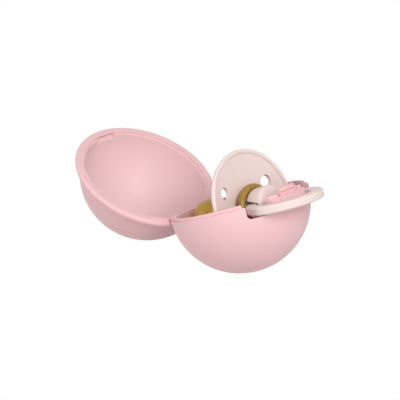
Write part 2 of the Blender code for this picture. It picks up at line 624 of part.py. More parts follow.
def make_plug(carrier, parts):
    """The plug behind the knob: it closes the slot and its stem fills the teat's neck."""
    stem = NECK_RADIUS - TEAT_WALL - PLUG_GAP
    end = PLUG_DISC_BACK - PLUG_LENGTH
    outline = [(0, PLUG_DISC_FRONT), (PLUG_DISC_RADIUS, PLUG_DISC_FRONT), (PLUG_DISC_RADIUS, PLUG_DISC_BACK),
               (stem, PLUG_DISC_BACK), (stem, end + EDGE_CHAMFER), (stem - EDGE_CHAMFER, end), (0, end)]
    return turned("knob_plug", outline, carrier, parts, TEAT_STEPS, False,
                  location=TEAT_ORIGIN, lean=SHIELD_LEAN - QUARTER_TURN)


def make_ring(pivot, parts):
    """The flat ring, hinged where it passes through the knob."""
    half = RING_HEIGHT / 2
    outline = rounded((RING_OUTER_RADIUS, half), RING_EDGE, QUARTER_TURN, 0)
    outline += rounded((RING_OUTER_RADIUS, -half), RING_EDGE, 0, -QUARTER_TURN)
    outline += rounded((RING_INNER_RADIUS, -half), RING_EDGE, -QUARTER_TURN, -HALF_TURN)
    outline += rounded((RING_INNER_RADIUS, half), RING_EDGE, HALF_TURN, QUARTER_TURN)
    centre = (RING_CENTRE_REACH - RING_PIVOT_REACH, 0, 0)
    return turned("pacifier_ring", outline, pivot, parts, SHELL_STEPS, True, location=centre)


def main():
    """Build the case and the pacifier, and stand them on the origin."""
    clear_scene()
    parts = new_collection("pacifier_case")
    cutters = new_collection("cutters")
    pink = plastic("case_pink", (0.86, 0.55, 0.58), 0.45)
    pale = plastic("pacifier_pale", (0.80, 0.66, 0.62), 0.40)
    amber = plastic("teat_amber", (0.45, 0.26, 0.06), 0.35)
    pin_pink = plastic("pin_pink", (0.84, 0.53, 0.56), 0.45)

    root = empty("case_root", (0, 0, 0), 0, None, parts)
    ground = make_floor_cutter(root, cutters)
    case = empty("base_frame", (0, 0, STAND_HEIGHT), CASE_LEAN, root, parts)
    lid_pivot = empty("lid_pivot", HINGE_AXIS, OPEN_ANGLE, case, parts)
    tab_pivot = empty("latch_pivot", TAB_AXIS, 0, case, parts)
    lift = empty("pacifier_lift", (0, 0, 0), 0, case, parts)
    ring_pivot = empty("ring_pivot", RING_AXIS, -RING_LEAN, lift, parts)

    pieces = [(make_base(case, parts, cutters, ground), pink),
              (make_lid(lid_pivot, parts, cutters, ground), pink),
              (make_pin(case, parts), pin_pink),
              (make_tab(tab_pivot, parts, cutters), pink),
              (make_shield(lift, parts, cutters), pale),
              (make_teat(lift, parts, cutters), amber),
              (make_knob(lift, parts, cutters), pale),
              (make_plug(lift, parts), pale),
              (make_ring(ring_pivot, parts), pale)]
    for item, material in pieces:
        item.data.materials.append(material)
    centre_on_origin(root, [item for item, material in pieces])


def centre_on_origin(root, items):
    """Slide the whole model along X until its bounding box is centred there."""
    graph = bpy.context.evaluated_depsgraph_get()
    reach = []
    for item in items:
        evaluated = item.evaluated_get(graph)
        mesh = evaluated.to_mesh()
        reach += [(evaluated.matrix_world @ vertex.co).x for vertex in mesh.vertices]
        evaluated.to_mesh_clear()
    root.location.x -= (min(reach) + max(reach)) / 2
    bpy.context.view_layer.update()


main()
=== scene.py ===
"""Looks of the ball-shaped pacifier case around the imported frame.

Each piece is drawn in millimetres and brought to metres once its shape is done.
"""
import math

import bmesh
import bpy
from mathutils import Matrix, Vector


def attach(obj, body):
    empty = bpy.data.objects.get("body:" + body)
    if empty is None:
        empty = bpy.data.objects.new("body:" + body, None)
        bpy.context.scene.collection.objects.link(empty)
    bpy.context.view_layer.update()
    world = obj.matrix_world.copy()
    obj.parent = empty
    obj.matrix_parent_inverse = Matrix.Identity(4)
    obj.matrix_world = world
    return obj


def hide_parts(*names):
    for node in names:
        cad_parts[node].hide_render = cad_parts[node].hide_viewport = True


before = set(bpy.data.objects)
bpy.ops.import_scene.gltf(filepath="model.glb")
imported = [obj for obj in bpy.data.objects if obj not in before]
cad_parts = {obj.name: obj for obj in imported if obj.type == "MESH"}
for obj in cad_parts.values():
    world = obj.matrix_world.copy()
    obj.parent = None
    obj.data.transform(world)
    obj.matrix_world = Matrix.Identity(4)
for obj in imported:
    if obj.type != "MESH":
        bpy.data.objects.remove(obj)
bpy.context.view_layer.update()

# Case
BALL = 28.0
INNER = 25.5
LID_INNER = 26.6
LIP = 26.75
LIP_HEIGHT = 1.2
LINE_WIDTH = 0.3
LINE_DEPTH = 0.2
GROOVE = 27.05
LEDGE = 1.5
SEAM = 0.3
FOOT = 4.2
BEAD = 1.35
BEAD_CIRCLE = 29.05
BEAD_END = 11.6
BORE = 0.84
PIN = 0.8
RELIEF = 0.3
OPEN_ANGLE = 131.9
HINGE_DROP = 0.95
CENTRE_X = 20.8341
BARREL = 2.0
LID_BARREL_HALF = 5.0
BASE_BARREL_END = 10.9
WEB_INSET = 0.3
WEB_REACH = 2.8
WEB_LOW = -3.65
WEB_HIGH = -0.35
WEB_EDGE = 0.5
LID_WEB_REACH = 1.7
LID_WEB_TOP = 2.6
NOTCH_DEPTH = 5.057
NOTCH_OUTSIDE = 18.8
NOTCH_CORNER = 2.0
TAB_HALF = 9.65
TAB_ROOT = 4.607
HEAD_HALF = 4.35
HEAD_TOP = 3.0
HEAD_SLOPE = 2.3
HEAD_FOOT = -2.4
HEAD_GAP = 0.3
NOSE = 27.6
NOSE_TOP = 1.75
HOOK = 1.5
UNDERCUT_DEPTH = 0.25
UNDERCUT_LOW = 1.2
UNDERCUT_HIGH = 1.55
PAD_HALF = 5.7
PAD = 28.6
PAD_INSET = 0.4
PAD_DEPTH = 1.2
POCKET_BACK = 24.9
POCKET_DEPTH = 27.9
CASE_EDGE = 0.22
LID_EDGE = 0.18

# Pacifier
SHIELD = 21.79
SHIELD_THICKNESS = 1.5
DISH = 63.0
RIM_RADIUS = 1.1
LINE_CIRCLE = 19.9
BACK_CIRCLE = 19.6
FRONT_STEPS = 24
BACK_STEPS = 16
SHIELD_REACH = 7.671
SHIELD_DROP = 1.4
SHIELD_LEAN = 4.84
VENT = 2.5
VENT_CIRCLE = 13.7
VENT_ANGLES = (28, 148, 268)
TEAT_REACH = 5.503
TEAT_DROP = 3.5
NECK = 4.8
NECK_BEND = 7.0
NECK_GAP = 0.3
NECK_WAIST = 4.55
TEAT_CORE = 3.7
FLANGE_FRONT = -2.8
FLANGE_BACK = -3.9
FLANGE = 8.8
FLANGE_EDGE = 0.3
BULB = 6.7
BULB_DISTANCE = 19.37
LATEX_WALL = 1.1
COLLAR = 9.5
COLLAR_BORE = 6.6
COLLAR_BACK = 0.057
COLLAR_FRONT = 4.464
COLLAR_FOOT = 7.4
KNOB = 7.2
KNOB_FRONT = 12.294
KNOB_EDGE = 1.6
KNOB_SHOULDER = 4.564
KNOB_BACK_EDGE = 0.8
SPIGOT = 6.2
SPIGOT_BACK = 2.85
RING_OUTER = 15.2
RING_INNER = 10.6
RING_HEIGHT = 3.4
RING_EDGE = 0.75
RING_CENTRE = 23.66
RING_PIVOT = 12.6
RING_PIVOT_DROP = 2.6
RING_LEAN = 1.7
RING_SWING = 20.0
SWING_STEPS = 12
SLOT_GAP = 0.2
SLOT_BACK_GAP = 0.4
PACIFIER_EDGE = 0.3

# Steps round a circle
STEPS = 144
BORE_STEPS = 50
PIN_STEPS = 40
VENT_STEPS = 64
NECK_STEPS = 72
TEAT_STEPS = 96
RING_STEPS = 192

# Reach of the cutters
OVERRUN = 1.3
FAR = 40.0
GROUND_HALF = 100.0
GROUND_DEPTH = 30.0
NOTCH_START = 14.0
NOTCH_TOP = 8.0
GAP_START = 15.0
GAP_TOP = 5.0
BEAD_CUT_DEPTH = 5.0
BEAD_CUT_TOP = 10.0
NECK_CUT = 20.0
VENT_CUT_DEPTH = 8.0
VENT_CUT_TOP = 4.0

# Colours
GRAIN = 0.25
OUTSIDE_PINK = (0.905, 0.575, 0.592)
SHADED_PINK = (0.880, 0.550, 0.570)
# Painted light: the lid's inner wall gets this paler pink so it reads as brightly lit
INSIDE_PAINTED_LIGHT_PINK = (0.862, 0.622, 0.636)

# Photograph and camera
PICTURE = 400
BALL_PIXEL = (239.50, 202.18)
SENSOR = 36


def turn_y(degrees):
    """A turn about Y that raises +X where the angle is positive."""
    return Matrix.Rotation(math.radians(-degrees), 4, "Y")


def shift(x, y, z):
    return Matrix.Translation((x, y, z))


hinge_tilt = math.degrees(math.atan2(HINGE_DROP, BALL))
case_lean = 90 - OPEN_ANGLE / 2 - hinge_tilt
stand = math.sqrt(BALL ** 2 - FOOT ** 2)
hinge_in_case = Vector((-BALL, 0, -HINGE_DROP))

WORLD = shift(CENTRE_X, 0, 0)
CASE = WORLD @ shift(0, 0, stand) @ turn_y(case_lean)
LID = CASE @ shift(*hinge_in_case) @ turn_y(OPEN_ANGLE) @ shift(*-hinge_in_case)
SHIELD_FRAME = CASE @ shift(SHIELD_REACH, 0, -SHIELD_DROP) @ turn_y(SHIELD_LEAN - 90)
TEAT_FRAME = CASE @ shift(TEAT_REACH, 0, -TEAT_DROP) @ turn_y(SHIELD_LEAN - 90)
BULB_FRAME = TEAT_FRAME @ shift(0, 0, FLANGE_BACK) @ turn_y(-NECK_BEND)
RING_FRAME = CASE @ shift(RING_PIVOT, 0, -RING_PIVOT_DROP) @ turn_y(-RING_LEAN)


# Shapes

def spread_evenly(start, end, steps):
    """Values from the start to the end, both included."""
    return [start + (end - start) * step / steps for step in range(steps + 1)]


def arc(centre, radius, start, end, steps):
    """Points (r, z) of an arc between two angles in degrees, both ends included."""
    points = []
    for degrees in spread_evenly(start, end, steps):
        angle = math.radians(degrees)
        points.append((centre[0] + radius * math.cos(angle), centre[1] + radius * math.sin(angle)))
    return points


def arc_point(radius, angle):
    """The point (r, z) of a circle about the origin."""
    return arc((0, 0), radius, angle, angle, 1)[0]


def filleted(points, closed=False):
    """An outline whose corners (r, z, radius) are rounded."""
    result = []
    count = len(points)
    for index, point in enumerate(points):
        radius = point[2] if len(point) > 2 else 0
        here = Vector(point[:2])
        if not radius or (not closed and index in (0, count - 1)):
            result.append(tuple(here))
            continue
        before = (Vector(points[index - 1][:2]) - here).normalized()
        after = (Vector(points[(index + 1) % count][:2]) - here).normalized()
        spread = before.angle(after)
        reach = radius / math.tan(spread / 2)
        centre = here + (before + after).normalized() * radius / math.sin(spread / 2)
        first = here + before * reach - centre
        last = here + after * reach - centre
        start = math.atan2(first.y, first.x)
        sweep = (math.atan2(last.y, last.x) - start + math.pi) % (2 * math.pi) - math.pi
        steps = max(2, int(abs(sweep) / math.radians(15)))
        for step in range(steps + 1):
            angle = start + sweep * step / steps
            result.append((centre.x + radius * math.cos(angle), centre.y + radius * math.sin(angle)))
    return result


def finish_mesh(name, work, matrix):
    """An object from a bmesh, moved to its place in the part, with its faces turned outwards."""
    bmesh.ops.recalc_face_normals(work, faces=work.faces)
    work.transform(matrix)
    for face in work.faces:
        face.smooth = True
    mesh = bpy.data.meshes.new(name)
    work.to_mesh(mesh)
    work.free()
    item = bpy.data.objects.new(name, mesh)
    bpy.context.scene.collection.objects.link(item)
    return item


def lathe(name, outline, matrix, steps=STEPS, closed=False):
    """An outline (r, z) turned about Z. An open outline starts and ends on the axis."""
    work = bmesh.new()
    rings = []
    for radius, height in outline:
        if radius < 1e-6:
            rings.append([work.verts.new((0, 0, height))])
        else:
            rings.append([work.verts.new((radius * math.cos(2 * math.pi * step / steps),
                                          radius * math.sin(2 * math.pi * step / steps), height))
                          for step in range(steps)])
    pairs = list(zip(rings, rings[1:]))
    if closed:
        pairs.append((rings[-1], rings[0]))
    for first, second in pairs:
        for step in range(steps):
            following = (step + 1) % steps
            corners = [first[step % len(first)], first[following % len(first)],
                       second[following % len(second)], second[step % len(second)]]
            corners = list(dict.fromkeys(corners))
            if len(corners) > 2:
                work.faces.new(corners)
    return finish_mesh(name, work, matrix)


def box(name, low, high, matrix, round_axis=None, radius=0):
    """A box between two corners; its edges along one axis can be rounded."""
    work = bmesh.new()
    bmesh.ops.create_cube(work, size=1)
    size = [high[i] - low[i] for i in range(3)]
    bmesh.ops.scale(work, vec=size, verts=work.verts)
    bmesh.ops.translate(work, vec=[(high[i] + low[i]) / 2 for i in range(3)], verts=work.verts)
    if radius:
        along = [edge for edge in work.edges
                 if abs(edge.verts[0].co[round_axis] - edge.verts[1].co[round_axis]) > size[round_axis] / 2]
        bmesh.ops.bevel(work, geom=along, offset=radius, segments=10, profile=0.5, affect="EDGES")
    return finish_mesh(name, work, matrix)


def prism(name, outline, low, high, matrix):
    """An outline (x, z) drawn out along Y."""
    work = bmesh.new()
    face = work.faces.new([work.verts.new((x, low, z)) for x, z in outline])
    drawn = bmesh.ops.extrude_face_region(work, geom=[face])
    bmesh.ops.translate(work, vec=(0, high - low, 0),
                        verts=[item for item in drawn["geom"] if isinstance(item, bmesh.types.BMVert)])
    return finish_mesh(name, work, matrix)


def barrel(name, radius, low, high, matrix, edge=0.25, steps=64):
    """A round bar along Y with softened ends."""
    outline = filleted([(0, low), (radius, low, edge), (radius, high, edge), (0, high)])
    return lathe(name, outline, matrix @ Matrix.Rotation(math.radians(-90), 4, "X"), steps)


def combine(item, other, operation):
    """Join or cut two closed pieces and drop the second."""
    modifier = item.modifiers.new("combine", "BOOLEAN")
    modifier.operation = operation
    modifier.object = other
    modifier.solver = "MANIFOLD"
    bpy.context.view_layer.update()
    graph = bpy.context.evaluated_depsgraph_get()
    mesh = bpy.data.meshes.new_from_object(item.evaluated_get(graph))
    item.modifiers.clear()
    item.data = mesh
    bpy.data.objects.remove(other, do_unlink=True)
    return item


def stand_flat(item):
    """Cut off what lies under the ground, which leaves the flat foot."""
    ground = box("ground", (-GROUND_HALF, -GROUND_HALF, -GROUND_DEPTH), (GROUND_HALF, GROUND_HALF, 0), WORLD)
    return combine(item, ground, "DIFFERENCE")


def soften(item, width, segments=2, limit=32):
    """Round every edge sharper than the limit, by a width in millimetres."""
    work = bmesh.new()
    work.from_mesh(item.data)
    bmesh.ops.remove_doubles(work, verts=work.verts, dist=0.002)
    bmesh.ops.dissolve_degenerate(work, edges=work.edges, dist=0.002)
    sharp = [edge for edge in work.edges
             if len(edge.link_faces) == 2 and edge.calc_face_angle(0) > math.radians(limit)]
    bmesh.ops.bevel(work, geom=sharp, offset=width, segments=segments, profile=0.5, affect="EDGES",
                    clamp_overlap=True, harden_normals=False)
    work.to_mesh(item.data)
    work.free()
    return item


def shade(item, limit=34):
    """Smooth shading that keeps the sharper edges crisp."""
    for polygon in item.data.polygons:
        polygon.use_smooth = True
    item.data.set_sharp_from_angle(angle=math.radians(limit))
    return item


# Materials

def painted_light_near(tree, place, surface, colour, centre, start, full):
    """Painted light: the surface's colour, which turns into another between two distances from a centre, in
    metres.
    """
    reach = tree.nodes.new("ShaderNodeVectorMath")
    reach.operation = "DISTANCE"
    reach.inputs[1].default_value = centre
    within = tree.nodes.new("ShaderNodeMapRange")
    within.inputs["From Min"].default_value = start
    within.inputs["From Max"].default_value = full
    paler = tree.nodes.new("ShaderNodeMix")
    paler.data_type = "RGBA"
    paler.inputs["B"].default_value = (*colour, 1)
    tree.links.new(place.outputs["Object"], reach.inputs[0])
    tree.links.new(reach.outputs["Value"], within.inputs["Value"])
    tree.links.new(within.outputs["Result"], paler.inputs["Factor"])
    tree.links.new(surface, paler.inputs["A"])
    return paler.outputs["Result"]


def moulded_plastic(name, colour, shade_colour, roughness, grain, scatter=0.0, inside=None):
    """Satin moulded plastic: a fine eroded grain, faint tone drift and uneven gloss from handling.

    Inside is a ball's centre and a paler colour: painted light, which makes the side within that ball's wall
    paler, as if brightly lit.
    """
    material = bpy.data.materials.new(name)
    material.use_nodes = True
    nodes = material.node_tree.nodes
    links = material.node_tree.links
    shader = nodes["Principled BSDF"]
    shader.inputs["Metallic"].default_value = 0
    shader.inputs["Specular IOR Level"].default_value = 0.42
    shader.inputs["IOR"].default_value = 1.47
    if scatter:
        shader.inputs["Subsurface Weight"].default_value = scatter
        shader.inputs["Subsurface Scale"].default_value = 0.0015
        shader.inputs["Subsurface Radius"].default_value = (1.0, 0.55, 0.45)
    place = nodes.new("ShaderNodeTexCoord")
    drift = nodes.new("ShaderNodeTexNoise")
    drift.inputs["Scale"].default_value = 60
    drift.inputs["Detail"].default_value = 4
    tone = nodes.new("ShaderNodeMix")
    tone.data_type = "RGBA"
    tone.inputs["A"].default_value = (*colour, 1)
    tone.inputs["B"].default_value = (*shade_colour, 1)
    gloss = nodes.new("ShaderNodeMapRange")
    gloss.inputs["To Min"].default_value = roughness - 0.05
    gloss.inputs["To Max"].default_value = roughness + 0.07
    fine = nodes.new("ShaderNodeTexNoise")
    fine.inputs["Scale"].default_value = 2600
    fine.inputs["Detail"].default_value = 3
    bump = nodes.new("ShaderNodeBump")
    bump.inputs["Strength"].default_value = grain
    bump.inputs["Distance"].default_value = 0.00004
    links.new(place.outputs["Object"], drift.inputs["Vector"])
    links.new(place.outputs["Object"], fine.inputs["Vector"])
    links.new(drift.outputs["Fac"], tone.inputs["Factor"])
    surface = tone.outputs["Result"]
    # Painted light: the lid's inner wall turns paler, as if brightly lit
    if inside:
        centre, paler = inside
        surface = painted_light_near(material.node_tree, place, surface, paler, centre, start=0.0275, full=0.0267)
    links.new(surface, shader.inputs["Base Color"])
    links.new(drift.outputs["Fac"], gloss.inputs["Value"])
    links.new(gloss.outputs["Result"], shader.inputs["Roughness"])
    links.new(fine.outputs["Fac"], bump.inputs["Height"])
    links.new(bump.outputs["Normal"], shader.inputs["Normal"])
    return material


def latex(bulb_centre):
    """Amber natural rubber: cloudy, slightly see-through, with a waxy gloss and faint dip marks.

    Round the bulb's centre it is painted paler: painted light on the bulb, which lies in shade inside the
    case.
    """
    material = bpy.data.materials.new("amber_latex")
    material.use_nodes = True
    nodes = material.node_tree.nodes
    links = material.node_tree.links
    shader = nodes["Principled BSDF"]
    shader.inputs["Roughness"].default_value = 0.38
    shader.inputs["IOR"].default_value = 1.52
    shader.inputs["Subsurface Weight"].default_value = 0.35
    shader.inputs["Subsurface Scale"].default_value = 0.002
    shader.inputs["Subsurface Radius"].default_value = (1.0, 0.55, 0.15)
    place = nodes.new("ShaderNodeTexCoord")
    cloud = nodes.new("ShaderNodeTexNoise")
    cloud.inputs["Scale"].default_value = 170
    cloud.inputs["Detail"].default_value = 5
    cloud.inputs["Distortion"].default_value = 0.6
    tone = nodes.new("ShaderNodeValToRGB")
    tone.color_ramp.elements[0].position = 0.3
    tone.color_ramp.elements[0].color = (0.30, 0.170, 0.010, 1)
    tone.color_ramp.elements[1].position = 0.75
    tone.color_ramp.elements[1].color = (0.39, 0.233, 0.022, 1)
    fine = nodes.new("ShaderNodeTexNoise")
    fine.inputs["Scale"].default_value = 900
    bump = nodes.new("ShaderNodeBump")
    bump.inputs["Strength"].default_value = 0.15
    bump.inputs["Distance"].default_value = 0.00005
    links.new(place.outputs["Object"], cloud.inputs["Vector"])
    links.new(place.outputs["Object"], fine.inputs["Vector"])
    links.new(cloud.outputs["Fac"], tone.inputs["Fac"])
    # Painted light: paler amber round the bulb's centre, which lies in the case's shade
    surface = painted_light_near(material.node_tree, place, tone.outputs["Color"], (0.56, 0.34, 0.030), bulb_centre,
                         start=0.016, full=0.008)
    links.new(surface, shader.inputs["Base Color"])
    links.new(fine.outputs["Fac"], bump.inputs["Height"])
    links.new(bump.outputs["Normal"], shader.inputs["Normal"])
    return material


# Case pieces

def make_base():
    """The base shell with its rounded lip, front opening and two hinge barrels."""
    inside = arc((0, 0), INNER, -90, -1, 40)
    inside[0] = (0, -INNER)
    rim = filleted([inside[-1], (INNER, LIP_HEIGHT, 0.3), (LIP, LIP_HEIGHT, 0.4), (LIP, -LINE_DEPTH, 0.08),
                    (LIP + LINE_WIDTH, -LINE_DEPTH, 0.08), (LIP + LINE_WIDTH, 0, 0.1), (BALL, 0, 0.3),
                    arc_point(BALL, -1)])
    outside = arc((0, 0), BALL, -1.5, -90, 44)
    outside[-1] = (0, -BALL)
    base = lathe("base_body", inside + rim[1:] + outside, CASE)
    opening = box("opening", (NOTCH_START, -NOTCH_OUTSIDE, -NOTCH_DEPTH),
                  (BALL + 1, NOTCH_OUTSIDE, NOTCH_TOP), CASE, 0, NOTCH_CORNER)
    combine(base, opening, "DIFFERENCE")
    axis = CASE @ shift(*hinge_in_case)
    reach = LID_BARREL_HALF + RELIEF
    combine(base, barrel("relief", BARREL + RELIEF, -reach, reach, axis, 0.1), "DIFFERENCE")
    for side in (-1, 1):
        low, high = sorted((side * reach, side * BASE_BARREL_END))
        web = box("web", (-BALL, low + WEB_INSET, WEB_LOW),
                  (WEB_REACH - BALL, high - WEB_INSET, WEB_HIGH), CASE, 1, WEB_EDGE)
        combine(base, web, "UNION")
        combine(base, barrel("knuckle", BARREL, low, high, axis), "UNION")
    reach = BASE_BARREL_END + OVERRUN
    combine(base, barrel("bore", BORE, -reach, reach, axis, 0.1, BORE_STEPS), "DIFFERENCE")
    stand_flat(base)
    soften(base, CASE_EDGE)
    return shade(base)


def make_latch():
    """The latch tab between the notches: wall, lip, hooked head and thumb pad."""
    root = math.degrees(math.asin(TAB_ROOT / BALL))
    inner_root = math.degrees(math.asin(TAB_ROOT / INNER))
    outline = filleted([(INNER, LIP_HEIGHT, 0.3), (LIP, LIP_HEIGHT, 0.4), (LIP, 0, 0.1), (BALL, 0, 0.3)]
                       + arc((0, 0), BALL, -1.5, -root, 6) + arc((0, 0), INNER, -inner_root, -1, 6), True)
    tab = lathe("latch_body", outline, CASE, 3 * STEPS, True)
    combine(tab, box("limit", (0, -TAB_HALF, -BALL), (FAR, TAB_HALF, BALL), CASE), "INTERSECT")
    for side in (-1, 1):
        low, high = sorted((side * HEAD_HALF, side * PAD_HALF))
        combine(tab, box("gap", (GAP_START, low, 0), (BALL + 2, high, GAP_TOP), CASE), "DIFFERENCE")
    back = math.sqrt(INNER ** 2 - HEAD_HALF ** 2)
    outline = [(NOSE, NOSE_TOP, 0.1), (NOSE, HOOK, 0.08), (LIP, HOOK), (LIP, HEAD_FOOT), (back, HEAD_FOOT),
               (back, HEAD_TOP, 0.25), (LIP - 0.4, HEAD_TOP, 0.25), (LIP, HEAD_SLOPE, 0.3)]
    head = prism("head", filleted(outline, True), -HEAD_HALF, HEAD_HALF, CASE)
    combine(tab, head, "UNION")
    low = math.degrees(math.asin((TAB_ROOT - PAD_INSET) / PAD))
    edge = arc((0, 0), PAD, -1.2, -low, 8)
    outline = [(edge[0][0], edge[0][1], 0.3)] + edge[1:-1] + [(edge[-1][0], edge[-1][1], 0.3)]
    outline += [(BALL - PAD_DEPTH, edge[-1][1]), (BALL - PAD_DEPTH, edge[0][1])]
    pad = lathe("pad", filleted(outline, True), CASE, 3 * STEPS, True)
    combine(pad, box("limit", (0, -PAD_HALF, -BALL), (FAR, PAD_HALF, BALL), CASE), "INTERSECT")
    combine(tab, pad, "UNION")
    soften(tab, CASE_EDGE)
    undercut = box("undercut", (LIP - UNDERCUT_DEPTH, 0.5 - HEAD_HALF, UNDERCUT_LOW),
                   (LIP + 0.4, HEAD_HALF - 0.3, UNDERCUT_HIGH), CASE)
    combine(tab, undercut, "DIFFERENCE")
    return shade(tab)


def make_bead():
    """The lid's bead: a round bar with blunt ends beside the hinge, run smoothly into the rim."""
    outline = [(27.7, 3.6)] + arc((BEAD_CIRCLE, SEAM + BEAD), BEAD, 125, -92, 22)
    outline += [(28.45, 0.305), (28.1, 0.312), (27.9, 0.325), (27.7, 0.36), (27.5, 0.46), (27.3, 0.9),
                (27.3, 2.8)]
    bead = lathe("bead", outline, LID, STEPS, True)
    gap = box("bead_gap", (-FAR, -BEAD_END, -BEAD_CUT_DEPTH), (0, BEAD_END, BEAD_CUT_TOP), LID)
    return combine(bead, gap, "DIFFERENCE")


def make_lid():
    """The lid shell with its bead, groove, latch pocket and hinge barrel."""
    outside = arc((0, 0), BALL, 90, 1.6, 44)
    outside[0] = (0, BALL)
    rim = filleted([outside[-1], (BALL, SEAM, 0.25), (GROOVE, SEAM, 0.2),
                    (GROOVE, LEDGE, 0.1), (math.sqrt(LID_INNER ** 2 - LEDGE ** 2), LEDGE, 0.15),
                    arc_point(LID_INNER, 5)])
    inside = arc((0, 0), LID_INNER, 5.5, 90, 40)
    inside[-1] = (0, LID_INNER)
    lid = lathe("lid_body", outside[:-1] + rim + inside, LID)
    combine(lid, make_bead(), "UNION")
    axis = LID @ shift(*hinge_in_case)
    reach = BASE_BARREL_END + RELIEF
    combine(lid, barrel("relief", BARREL + RELIEF, -reach, reach, axis, 0.1), "DIFFERENCE")
    half = LID_BARREL_HALF - RELIEF
    web = box("web", (-BALL - LID_WEB_REACH, -half, SEAM + 0.05),
              (-GROOVE - WEB_INSET, half, LID_WEB_TOP), LID, 1, WEB_EDGE)
    combine(lid, web, "UNION")
    combine(lid, barrel("knuckle", BARREL, -LID_BARREL_HALF, LID_BARREL_HALF, axis), "UNION")
    reach = LID_BARREL_HALF + OVERRUN
    combine(lid, barrel("bore", BORE, -reach, reach, axis, 0.1, BORE_STEPS), "DIFFERENCE")
    outline = [(POCKET_BACK, -1), (GROOVE, -1), (GROOVE, 1.2), (POCKET_DEPTH, 1.2), (POCKET_DEPTH, 1.85),
               (GROOVE, 2.45), (26.45, 3.3), (POCKET_BACK, 4.3)]
    pocket = prism("pocket", outline, -HEAD_HALF - HEAD_GAP, HEAD_HALF + HEAD_GAP, LID)
    combine(lid, pocket, "DIFFERENCE")
    stand_flat(lid)
    soften(lid, LID_EDGE)
    return shade(lid)


def make_pin():
    """The hinge pin, as long as the three barrels together."""
    axis = CASE @ shift(*hinge_in_case)
    return shade(barrel("pin", PIN, -BASE_BARREL_END, BASE_BARREL_END, axis, 0.1, PIN_STEPS))


# Pacifier pieces

def dish(radius):
    """The height of the shield's dished front, from zero at the middle of the rolled rim."""
    rim = SHIELD - RIM_RADIUS
    return (radius ** 2 - rim ** 2) / (2 * DISH)


def make_shield():
    """The dished shield: rolled rim with a fine line inside it, vents and the neck's hole.

    It has turned a little on the neck, so the vents stand slightly askew.
    """
    front = [(radius, dish(radius)) for radius in spread_evenly(0, LINE_CIRCLE, FRONT_STEPS)]
    back = [(radius, dish(radius) - SHIELD_THICKNESS) for radius in spread_evenly(BACK_CIRCLE, 0, BACK_STEPS)]
    line = dish(LINE_CIRCLE)
    rim = filleted([front[-2], (LINE_CIRCLE, line, 0.12), (LINE_CIRCLE + 0.25, line + 0.62, 0.3),
                    (SHIELD - 0.05, 0.95, 0.85), (SHIELD, -1.15, 0.9), (LINE_CIRCLE, -1.35, 0.35),
                    back[0], back[1]])
    shield = lathe("shield_disc", front[:-2] + rim + back[2:], SHIELD_FRAME)
    reach = NECK + NECK_GAP
    bore = [(0, -NECK_CUT), (reach, -NECK_CUT), (reach, NECK_CUT), (0, NECK_CUT)]
    combine(shield, lathe("bore", bore, TEAT_FRAME, NECK_STEPS), "DIFFERENCE")
    vent = [(0, -VENT_CUT_DEPTH), (VENT, -VENT_CUT_DEPTH), (VENT, VENT_CUT_TOP), (0, VENT_CUT_TOP)]
    for angle in VENT_ANGLES:
        turn = math.radians(angle)
        place = SHIELD_FRAME @ shift(-VENT_CIRCLE * math.sin(turn), VENT_CIRCLE * math.cos(turn), 0)
        combine(shield, lathe("vent", vent, place, VENT_STEPS), "DIFFERENCE")
    soften(shield, PACIFIER_EDGE, 3)
    return shade(shield)


def make_teat():
    """The latex teat: rounded collar, neck and flange in front, bulb on a bent neck behind."""
    bead = (COLLAR - COLLAR_BORE) / 2
    middle = COLLAR_BORE + bead
    web = COLLAR_BACK + 1.0
    outline = [(TEAT_CORE, web), (COLLAR_BORE - 0.4, web), (COLLAR_BORE, web + 0.4)]
    outline += arc((middle, COLLAR_FRONT - bead), bead, 180, -50, 22)
    outline += [(8.4, 1.4), (7.9, 0.9), (7.55, 0.45), (COLLAR_FOOT, COLLAR_BACK), (NECK, COLLAR_BACK),
                (NECK, FLANGE_FRONT), (FLANGE - FLANGE_EDGE, FLANGE_FRONT),
                (FLANGE, FLANGE_FRONT - FLANGE_EDGE), (FLANGE, FLANGE_BACK + FLANGE_EDGE),
                (FLANGE - FLANGE_EDGE, FLANGE_BACK), (TEAT_CORE, FLANGE_BACK)]
    teat = lathe("teat_rubber", outline, TEAT_FRAME, TEAT_STEPS, True)
    bulb = (0, -BULB_DISTANCE)
    neck = [(0, 0.6), (4.4, 0.6), (5.6, -1.0), (5.0, -2.0)]
    join = math.degrees(math.acos(NECK_WAIST / BULB))
    waist = bulb[1] + BULB * math.sin(math.radians(join))
    outline = neck + [(4.8, -3.4), (4.6, -5.5), (4.5, -8.0), (NECK_WAIST - 0.05, waist + 1.2),
                      (NECK_WAIST + 0.08, waist + 0.45)]
    outline += arc(bulb, BULB, join - 4, -90, 20)
    outline[-1] = (0, bulb[1] - BULB)
    rear = lathe("rear", outline, BULB_FRAME, TEAT_STEPS)
    thin = BULB - LATEX_WALL
    outline = [(0, 2.4), (2.9, 2.4), (2.9, -1.2), (3.5, -2.6), (3.4, bulb[1] + thin * 0.8)]
    outline += arc(bulb, thin, 50, -90, 16)
    outline[-1] = (0, bulb[1] - thin)
    combine(rear, lathe("hollow", outline, BULB_FRAME, TEAT_STEPS), "DIFFERENCE")
    combine(teat, rear, "UNION")
    return shade(teat, 50)


def hull(points):
    """The convex outline round a set of points, in order."""
    ordered = sorted(set(points))

    def half(sequence):
        chain = []
        for point in sequence:
            while len(chain) > 1 and ((chain[-1][0] - chain[-2][0]) * (point[1] - chain[-2][1])
                                      - (chain[-1][1] - chain[-2][1]) * (point[0] - chain[-2][0])) <= 0:
                chain.pop()
            chain.append(point)
        return chain[:-1]
    return half(ordered) + half(reversed(ordered))


